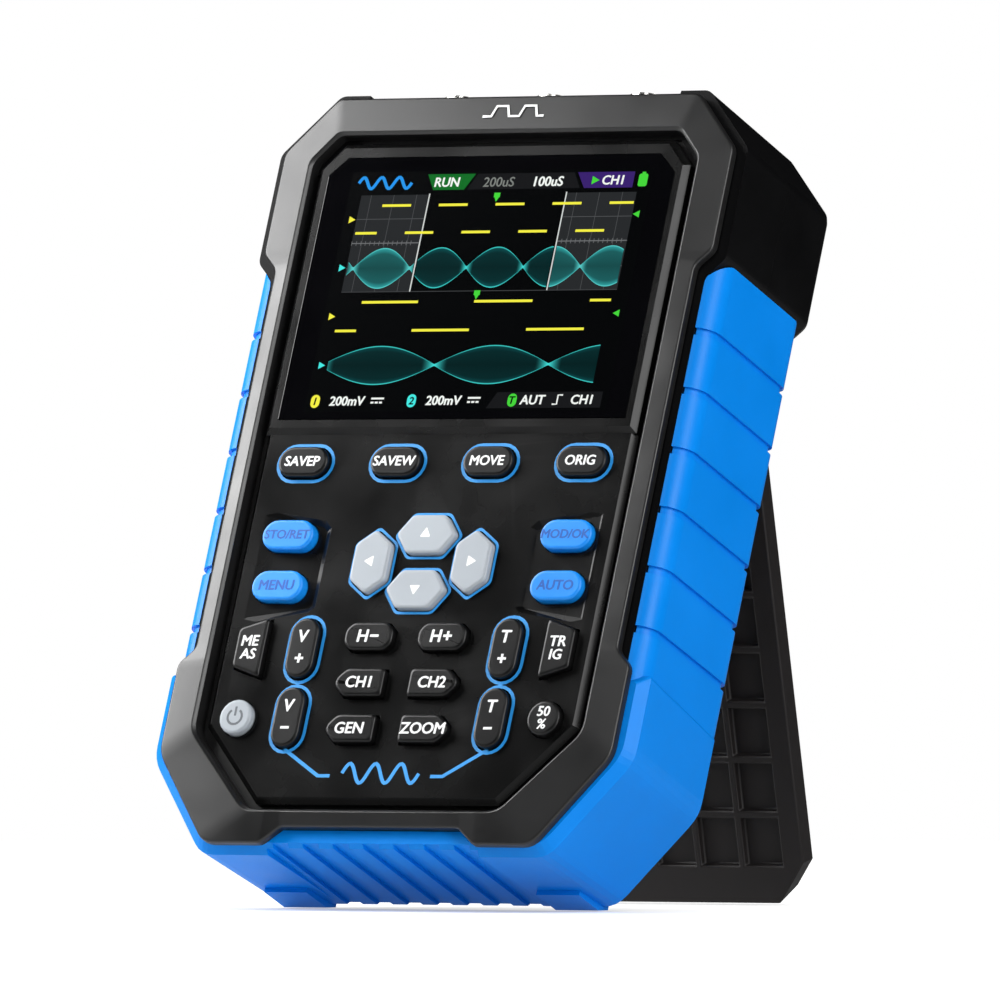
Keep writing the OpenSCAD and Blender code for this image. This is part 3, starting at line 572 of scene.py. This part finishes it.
class Artwork:
    """Gathers thin shapes that lie on one face; each shape keeps its own colour."""

    def __init__(self, face, colour=(255, 255, 255)):
        self.bm = bmesh.new()
        self.tint = self.bm.verts.layers.float_color.new("tint")
        self.face = face
        self.colour = colour

    def plate(self, points, faces, lift, colours=None):
        """One shape: flat points with faces, standing lift over the face and closed behind."""
        front = []
        back = []
        for i, (x, z) in enumerate(points):
            shade = (*srgb(*(colours[i] if colours else self.colour)), 1)
            d = self.face(z) if callable(self.face) else self.face
            for side, depth in ((front, d - lift), (back, d + 0.02)):
                vert = self.bm.verts.new((x, depth, z))
                vert[self.tint] = shade
                side.append(vert)
        border = {}
        for f in faces:
            self.bm.faces.new([front[i] for i in f])
            self.bm.faces.new([back[i] for i in reversed(f)])
            for a, b in zip(f, list(f[1:]) + [f[0]]):
                border[(a, b)] = (b, a) not in border
                if (b, a) in border:
                    border[(b, a)] = border[(a, b)] = False
        for (a, b), open_edge in border.items():
            if open_edge:
                self.bm.faces.new((front[b], front[a], back[a], back[b]))

    def polygon(self, points, lift=0.03, colour=None):
        self.plate(points, [tuple(range(len(points)))], lift, [colour] * len(points) if colour else None)

    def rect(self, x0, x1, z0, z1, lift=0.03, colour=None):
        self.polygon([(x0, z1), (x1, z1), (x1, z0), (x0, z0)], lift, colour)

    def ring(self, inner, outer, lift=0.03):
        n = len(inner)
        self.plate(inner + outer, [(i, (i + 1) % n, n + (i + 1) % n, n + i) for i in range(n)], lift)

    def line(self, points, width, lift=0.03, colour=None):
        """A stroke of that width along the points."""
        sides = []
        for i, (x, z) in enumerate(points):
            ax, az = points[max(i - 1, 0)]
            bx, bz = points[min(i + 1, len(points) - 1)]
            tx, tz = unit(bx - ax, bz - az)
            sides.append(((x - tz * width / 2, z + tx * width / 2),
                          (x + tz * width / 2, z - tx * width / 2)))
        n = len(points)
        flat = [a for a, b in sides] + [b for a, b in sides]
        self.plate(flat, [(i, i + 1, n + i + 1, n + i) for i in range(n - 1)], lift,
                   [colour] * len(flat) if colour else None)

    def words(self, text, x, z, height, lift=0.03, colour=None, weight=0.085, slant=0.06):
        """Lettering centred on (x, z), height tall over its capitals; strokes gain the weight
        times the height by drawing the words several times, a little apart."""
        curve = bpy.data.curves.new("words", "FONT")
        curve.body = text
        curve.shear = slant
        curve.resolution_u = 3
        obj = link(bpy.data.objects.new("words", curve))
        graph = bpy.context.evaluated_depsgraph_get()
        mesh = bpy.data.meshes.new_from_object(obj.evaluated_get(graph))
        bpy.data.objects.remove(obj)
        flat = bmesh.new()
        flat.from_mesh(mesh)
        bmesh.ops.remove_doubles(flat, verts=flat.verts, dist=1e-4)
        xs = [v.co.x for v in flat.verts]
        zs = [v.co.y for v in flat.verts]
        scale = height / (max(zs) - min(zs))
        mx, mz = (max(xs) + min(xs)) / 2, (max(zs) + min(zs)) / 2
        flat.verts.index_update()
        faces = [tuple(v.index for v in f.verts) for f in flat.faces]
        apart = weight * height / 2
        for i, (dx, dz) in enumerate(((-1, 0), (1, 0), (0, -0.7), (0, 0.7))):
            points = [(x + (v.co.x - mx) * scale + dx * apart,
                       z + (v.co.y - mz) * scale + dz * apart) for v in flat.verts]
            self.plate(points, faces, lift + 0.001 * i, [colour] * len(points) if colour else None)
        flat.free()
        bpy.data.meshes.remove(mesh)

    def place(self, name, mat, body, slot):
        return piece(name, self.bm, mat, body)


def arc(cx, cz, r, start, end, steps=16):
    return [(cx + r * math.cos(math.radians(start + (end - start) * i / steps)),
             cz + r * math.sin(math.radians(start + (end - start) * i / steps)))
            for i in range(steps + 1)]


# key: (lines of text, height, ink)
LEGENDS = {
    "save_picture": (["SAVEP"], 2.1, "ink_white"),
    "save_wave": (["SAVEW"], 2.1, "ink_white"),
    "move": (["MOVE"], 2.1, "ink_white"),
    "origin": (["ORIG"], 2.1, "ink_white"),
    "store": (["STO/RET"], 1.9, "ink_deep"),
    "menu": (["MENU"], 2.1, "ink_deep"),
    "ok": (["MOD/OK"], 1.9, "ink_deep"),
    "auto": (["AUTO"], 2.1, "ink_deep"),
    "measure": (["ME", "AS"], 2.2, "ink_white"),
    "trigger": (["TR", "IG"], 2.2, "ink_white"),
    "ch1": (["CH1"], 2.4, "ink_white"),
    "ch2": (["CH2"], 2.4, "ink_white"),
    "gen": (["GEN"], 2.4, "ink_white"),
    "zoom": (["ZOOM"], 2.4, "ink_white"),
    "h_minus": (["H-"], 2.6, "ink_white"),
    "h_plus": (["H+"], 2.6, "ink_white"),
    "v_up": (["V", "+"], 2.6, "ink_white"),
    "v_down": (["V", "-"], 2.6, "ink_white"),
    "t_up": (["T", "+"], 2.6, "ink_white"),
    "t_down": (["T", "-"], 2.6, "ink_white"),
    "level": (["50", "%"], 2.1, "ink_white"),
}
ARROWS = {"up": 90, "down": -90, "left": 180, "right": 0}
SIGN_REACH = 1.0       # half the length and thickness of a plus or minus sign
SIGN_HALF = 0.27
ARROW_REACH = 1.45
SECOND_LIFT = 0.031    # height of a stroke that lies across another one


def make_legends():
    for name, (lines, height, ink) in LEGENDS.items():
        x, z, _, _ = KEYS[name]
        art = Artwork(0)
        if name.startswith("h_"):
            art.words("H", x - 1.2, z, height)
            signs = [(x + 1.5, z, name == "h_plus")]
        elif name[:2] in ("v_", "t_"):
            art.words(lines[0], x, z + 2.4, height)
            signs = [(x, z - 2.4, lines[1] == "+")]
        else:
            gap = height * 1.3
            for i, text in enumerate(lines):
                art.words(text, x, z + gap * ((len(lines) - 1) / 2 - i), height)
            signs = []
        for sx, sz, plus in signs:
            art.rect(sx - SIGN_REACH, sx + SIGN_REACH, sz - SIGN_HALF, sz + SIGN_HALF)
            if plus:
                art.rect(sx - SIGN_HALF, sx + SIGN_HALF, sz - SIGN_REACH, sz + SIGN_REACH,
                         SECOND_LIFT)
        art.place(f"legend_{name}", ink, f"key_{name}_cap", "badge_foil")
    for name, turn in ARROWS.items():
        x, z, _, _ = KEYS[name]
        art = Artwork(0)
        tip = [(ARROW_REACH * math.cos(math.radians(turn + a)),
                ARROW_REACH * math.sin(math.radians(turn + a))) for a in (0, -120, 120)]
        art.polygon(shifted(soft(tip, 0.4), x, z))
        art.place(f"arrow_{name}", "ink_white", f"key_{name}_cap", "badge_foil")
    x, z, _, _ = KEYS["power"]
    art = Artwork(0)
    art.line(arc(x, z - 0.1, 1.65, 125, 415), 0.5)
    art.rect(x - 0.25, x + 0.25, z + 0.1, z + 2.1, SECOND_LIFT)
    art.place("power_symbol", "ink_grey", "key_power_cap", "badge_foil")


def make_panel_print():
    art = Artwork(PANEL_FACE)
    for name, (x, z, shape, finish) in KEYS.items():
        if isinstance(shape, tuple) and name not in ("power", "level") and finish == "key_black":
            inner, width = 0.35, 0.7
        elif finish == "key_grey" and name != "power":
            inner, width = 0.3, 0.55
        else:
            continue
        art.ring(shifted(key_outline(shape, inner), x, z),
                 shifted(key_outline(shape, inner + width), x, z))
    for side in (-1, 1):
        x = side * PAIR_X
        gap = 6.5 + 0.7
        art.rect(x - 0.45, x + 0.45, DOWN_Z + gap, UP_Z - gap, SECOND_LIFT)
        art.line([(side * 24.0, DOWN_Z - gap), (side * 24.0, 22.2), (side * 14.6, 16.3),
                  (side * 11.8, 16.3)], 0.75, SECOND_LIFT)
    wave = [(-9 + 0.4 * i, 16.9 + 2.1 * math.sin(0.4 * i * math.tau / 6)) for i in range(46)]
    art.line(wave, 0.8)
    art.place("panel_print", "ink_blue", "case", "badge_foil")


def make_badge_print():
    def band(z):
        return (z - CROWN_TOP) / (CASE_TOP - CROWN_TOP) - 0.15

    art = Artwork(band)
    pulse = [(-7, 160.6), (-5, 160.6), (-4.2, 163.0), (-1.6, 163.0), (-0.8, 160.6), (1.6, 160.6),
             (2.4, 163.0), (5.0, 163.0), (5.8, 160.6), (7.4, 160.6)]
    art.line(pulse, 0.6)
    art.place("badge_print", "ink_white", "case", "badge_foil")


# ---- the lit picture ----

YELLOW = (246, 240, 70)
CYAN = (70, 232, 226)
GREEN = (70, 214, 60)
DEEP_GREEN = (20, 110, 40)
WHITE = (240, 244, 240)
DIM = (128, 132, 128)
MARK_INK = (10, 30, 10)
BAR_INK = (24, 25, 27)
SCREEN_LEFT = -32.0
SCREEN_RIGHT = 33.0
SPLIT_V = 121.9
TRACE_HALF = 0.275     # half the thickness of a trace
PULSE = 13.42          # length of one pulse of the upper traces
GRID_TOP = 143.4       # upper edge of the upper picture
CURSORS = (-15.8, 16.55)
ZONES = ((SCREEN_LEFT, CURSORS[0]), (CURSORS[1], SCREEN_RIGHT))
BAR_V = 146.1          # middle, top and foot of the bar above the traces
BAR_TOP = 147.9
BAR_LOW = 144.4
FOOT_V = 97.75         # middle of the bar below the traces


def trace(art, start, end, level):
    """One flat stretch of the pulse trace, cut off at the edges of the picture."""
    left, right = max(start, SCREEN_LEFT + 0.4), min(end, SCREEN_RIGHT - 0.2)
    if right - left > 0.3:
        art.rect(left, right, level - TRACE_HALF, level + TRACE_HALF, 0.05, YELLOW)


def envelope(art, u0, u1, centre, height, node, period, edge, body):
    """A modulated wave: bright along its outline and dim inside."""
    steps = max(8, int((u1 - u0) / 0.35))
    rows = (-1, -0.93, -0.72, 0, 0.72, 0.93, 1)
    shades = (edge, body, tuple(c * 0.62 for c in body), tuple(c * 0.5 for c in body))
    points, colours, faces = [], [], []
    for i in range(steps + 1):
        u = u0 + (u1 - u0) * i / steps
        swing = abs(math.sin(math.pi * (u - node) / period))
        tall = height * swing + 0.16
        for k, row in enumerate(rows):
            points.append((u, centre + tall * row))
            shade = shades[min(k, len(rows) - 1 - k)]
            mix = max(0.0, 1 - swing * 3)
            colours.append(tuple(s + (e - s) * mix for s, e in zip(shade, edge)))
    n = len(rows)
    for i in range(steps):
        for k in range(n - 1):
            a = i * n + k
            faces.append((a, a + n, a + n + 1, a + 1))
    art.plate(points, faces, 0.045, colours)


def pointer(art, u, v, turn, size, colour):
    """A small marker pointing that way, in degrees."""
    art.polygon([(u + size * math.cos(math.radians(turn + a)), v + size * math.sin(math.radians(turn + a)))
                 for a in (0, -125, 125)], 0.05, colour)


def channel_mark(art, u, v, digit, colour):
    """A filled oval with the channel's number in it."""
    art.polygon(shifted(stadium(2.1, 2.9), u, v), 0.04, colour)
    art.words(digit, u, v, 1.6, 0.06, MARK_INK, slant=0.1)


def direct_symbol(art, u0, u1, v):
    """The sign for direct coupling: a bar over three dashes."""
    art.rect(u0, u1, v + 0.35, v + 0.75, 0.05, WHITE)
    third = (u1 - u0) / 3
    for i in range(3):
        art.rect(u0 + i * third, u0 + (i + 0.7) * third, v - 0.55, v - 0.15, 0.05, WHITE)


def make_picture():
    art = Artwork(GLASS_FACE)
    art.rect(SCREEN_LEFT - 3, SCREEN_RIGHT + 3, 95.4, 148.6, 0.01, (4, 5, 6))
    # graticule
    for left, right in ZONES:
        art.rect(left, right, SPLIT_V, GRID_TOP, 0.02, (40, 42, 44))
        u = left + 2.4
        while u < right:
            art.rect(u - 0.06, u + 0.06, SPLIT_V, GRID_TOP, 0.03, (78, 80, 82))
            u += 5.4
        for v in (138.06, 127.1):
            art.rect(left, right, v - 0.06, v + 0.06, 0.031, (84, 86, 88))
        ticks = int((right - left) / 1.08)
        art.rect(left, right, 132.6, 132.8, 0.032, (112, 114, 116))
        for i in range(ticks):
            art.rect(left + 1.08 * i, left + 1.08 * i + 0.12, 132.2, 133.2, 0.033, (112, 114, 116))
    for u in CURSORS:
        art.rect(u - 0.14, u + 0.14, SPLIT_V, 143.6, 0.04, (210, 214, 212))
    art.rect(SCREEN_LEFT, SCREEN_RIGHT, SPLIT_V - 0.07, SPLIT_V + 0.07, 0.03, (66, 68, 70))
    # upper traces
    for k in range(-1, 6):
        trace(art, -26.5 + PULSE * k, -19.7 + PULSE * k, 141.05)
        trace(art, -19.8 + PULSE * (k - 1), -13.1 + PULSE * (k - 1), 134.96)
    for left, right in ZONES:
        envelope(art, left + 0.3, right - 0.3, 127.1, 4.35, -30.4, PULSE, (96, 220, 216), (46, 150, 150))
    envelope(art, ZONES[0][1] + 0.4, ZONES[1][0] - 0.4, 127.1, 4.35, -30.4, PULSE, CYAN, (12, 74, 76))
    # lower traces
    for start, end in ((-26.6, -13.3), (0.0, 13.7), (27.2, 32.1)):
        trace(art, start, end, 119.6)
    for start, end in ((-32.0, -26.6), (-13.4, 0.1), (13.6, 27.1)):
        trace(art, start, end, 113.3)
    envelope(art, -31.6, SCREEN_RIGHT - 1.2, 105.6, 4.13, -33.2, 2 * PULSE, CYAN, (10, 66, 68))
    # markers
    for u, v, turn, colour in ((-33.2, 138.0, 0, YELLOW), (-33.2, 116.5, 0, YELLOW),
                               (-33.2, 127.3, 0, CYAN), (-33.2, 105.7, 0, CYAN),
                               (34.1, 138.5, 180, GREEN), (34.1, 116.7, 180, GREEN)):
        pointer(art, u, v, turn, 0.95, colour)
    for v in (142.8, 121.2):
        pointer(art, 0.25, v - 0.4, -90, 0.8, GREEN)
        art.rect(-0.45, 0.95, v - 0.2, v + 0.8, 0.051, GREEN)
    # top bar
    crest = [(-33.2 + 0.3 * i, BAR_V + 1.25 * math.sin(0.3 * i * math.tau / 4.2)) for i in range(43)]
    art.line(crest, 0.7, 0.05, (40, 150, 235))
    art.polygon([(-17.1, BAR_TOP), (-5.8, BAR_TOP), (-7.9, BAR_LOW), (-15.2, BAR_LOW)], 0.03, DEEP_GREEN)
    art.words("RUN", -12.2, BAR_V, 2.0, 0.05, WHITE)
    art.polygon([(-5.2, BAR_TOP), (17.5, BAR_TOP), (19.4, BAR_LOW), (-7.2, BAR_LOW)], 0.03, BAR_INK)
    art.words("200uS", 0.05, 146.0, 2.1, 0.05, DIM, weight=0.03)
    art.words("100uS", 11.8, 146.0, 2.1, 0.05, WHITE)
    art.polygon([(18.3, BAR_TOP), (31.7, BAR_TOP), (31.7, BAR_LOW), (20.4, BAR_LOW)], 0.03, (58, 34, 110))
    pointer(art, 22.6, BAR_V, 0, 1.1, GREEN)
    art.words("CH1", 26.9, BAR_V, 2.0, 0.05, WHITE)
    art.polygon(shifted(soft(octagon(1.05, 1.4, -1.4, (0.3, 0.3), (0.3, 0.3)), 0.1), 33.9, 146.0),
                0.04, GREEN)
    art.rect(33.5, 34.3, 147.4, 147.8, 0.041, GREEN)
    # bottom bar
    for left, digit, colour in ((-32.8, "1", YELLOW), (-10.0, "2", CYAN)):
        channel_mark(art, left, FOOT_V, digit, colour)
        art.words("200mV", left + 7.6, 97.8, 2.0, 0.05, WHITE)
        direct_symbol(art, left + 13.2, left + 16.2, FOOT_V)
    art.polygon([(9.9, 99.5), (34.6, 99.5), (34.6, 96.0), (7.9, 96.0)], 0.03, BAR_INK)
    channel_mark(art, 13.7, FOOT_V, "T", GREEN)
    art.words("AUT", 18.5, 97.8, 2.0, 0.05, WHITE)
    art.line([(23.2, 96.8), (24.3, 96.8), (24.3, 98.8), (25.4, 98.8)], 0.35, 0.05, WHITE)
    art.words("CH1", 30.0, 97.8, 2.0, 0.05, WHITE)
    art.place("screen_picture", "light", "case", "glass_black")


# ---- kickstand ----

STAND_W = 80.5
STAND_T = 4.5
TILE_X = 10.3
TILE_Z = 11.6
TILE_RIB = 2.0
TILE_DEPTH = 1.6
STAND_BORDER = 3.5
STAND_CORNER = (6.5, 8.7)
STAND_OPEN = math.radians(34.9)
STAND_TIP = 0.77       # the flat end's reach past its last axis, in half thicknesses
STAND_CHAMFER = 1.5    # height of the chamfer under the outer face
POCKET_FLARE = 0.18    # how far the pocket walls lean inwards
STAND_ROUNDING = 0.35


def make_kickstand():
    """The stand hanging from its pin, with rows of hollows in the face towards the case."""
    pin_height = joints["stand_hinge"]["pos_m"][2] / MM
    reach = (pin_height - STAND_T / 2) / math.cos(STAND_OPEN - lean)
    hw, r = STAND_W / 2, STAND_T / 2
    low = -reach - STAND_TIP * r
    outline = mirrored([(hw, 0), (hw, low + STAND_CORNER[1]), (hw - STAND_CORNER[0], low)])
    bm = bmesh.new()
    bm.faces.new([bm.verts.new((x, -r, z)) for x, z in outline])
    cols = int((STAND_W - 2 * STAND_BORDER + TILE_RIB) // TILE_X)
    rows = int((reach - 14) // TILE_Z)
    first_x = -cols * TILE_X / 2
    first_z = -reach + STAND_BORDER + 2
    cuts = [((first_x + i * TILE_X, 0, 0), (1, 0, 0)) for i in range(cols + 1)]
    cuts += [((0, 0, first_z + j * TILE_Z), (0, 0, 1)) for j in range(rows + 1)]
    for co, normal in cuts:
        bmesh.ops.bisect_plane(bm, geom=bm.verts[:] + bm.edges[:] + bm.faces[:], plane_co=co,
                               plane_no=normal)
    tile_area = TILE_X * TILE_Z
    tiles = [f for f in bm.faces if abs(f.calc_area() - tile_area) < 0.01]
    rim = [e for e in bm.edges if e.is_boundary]
    skirt = bmesh.ops.extrude_edge_only(bm, edges=rim)["geom"]
    for v in skirt:
        if isinstance(v, bmesh.types.BMVert):
            v.co.y = r
            if v.co.z < low + 0.1:
                v.co.z += STAND_CHAMFER
    bmesh.ops.contextual_create(bm, geom=[e for e in skirt if isinstance(e, bmesh.types.BMEdge)])
    bmesh.ops.recalc_face_normals(bm, faces=bm.faces)
    bmesh.ops.inset_individual(bm, faces=tiles, thickness=TILE_RIB / 2, depth=0)
    bmesh.ops.inset_individual(bm, faces=tiles, thickness=POCKET_FLARE, depth=-TILE_DEPTH)
    bmesh.ops.create_cone(bm, cap_ends=True, segments=32, radius1=r, radius2=r, depth=STAND_W,
                          matrix=Matrix.Rotation(math.pi / 2, 4, "Y"))
    at = place @ Matrix.Translation(Vector((0, HINGE_D, HINGE_Z))) @ Matrix.Rotation(STAND_OPEN, 4, "X")
    stand = piece("stand_plate", bm, "stand", "stand", at)
    bevel = stand.modifiers.new("round", "BEVEL")
    bevel.width = STAND_ROUNDING * MM
    bevel.segments = 2
    bevel.limit_method = "ANGLE"
    bevel.angle_limit = math.radians(40)
    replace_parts(stand, "kickstand")


make_camera()
make_lights()
make_floor()
dress_nodes()
make_bezel()
make_keys()
make_legends()
make_panel_print()
make_badge_print()
make_picture()
make_kickstand()
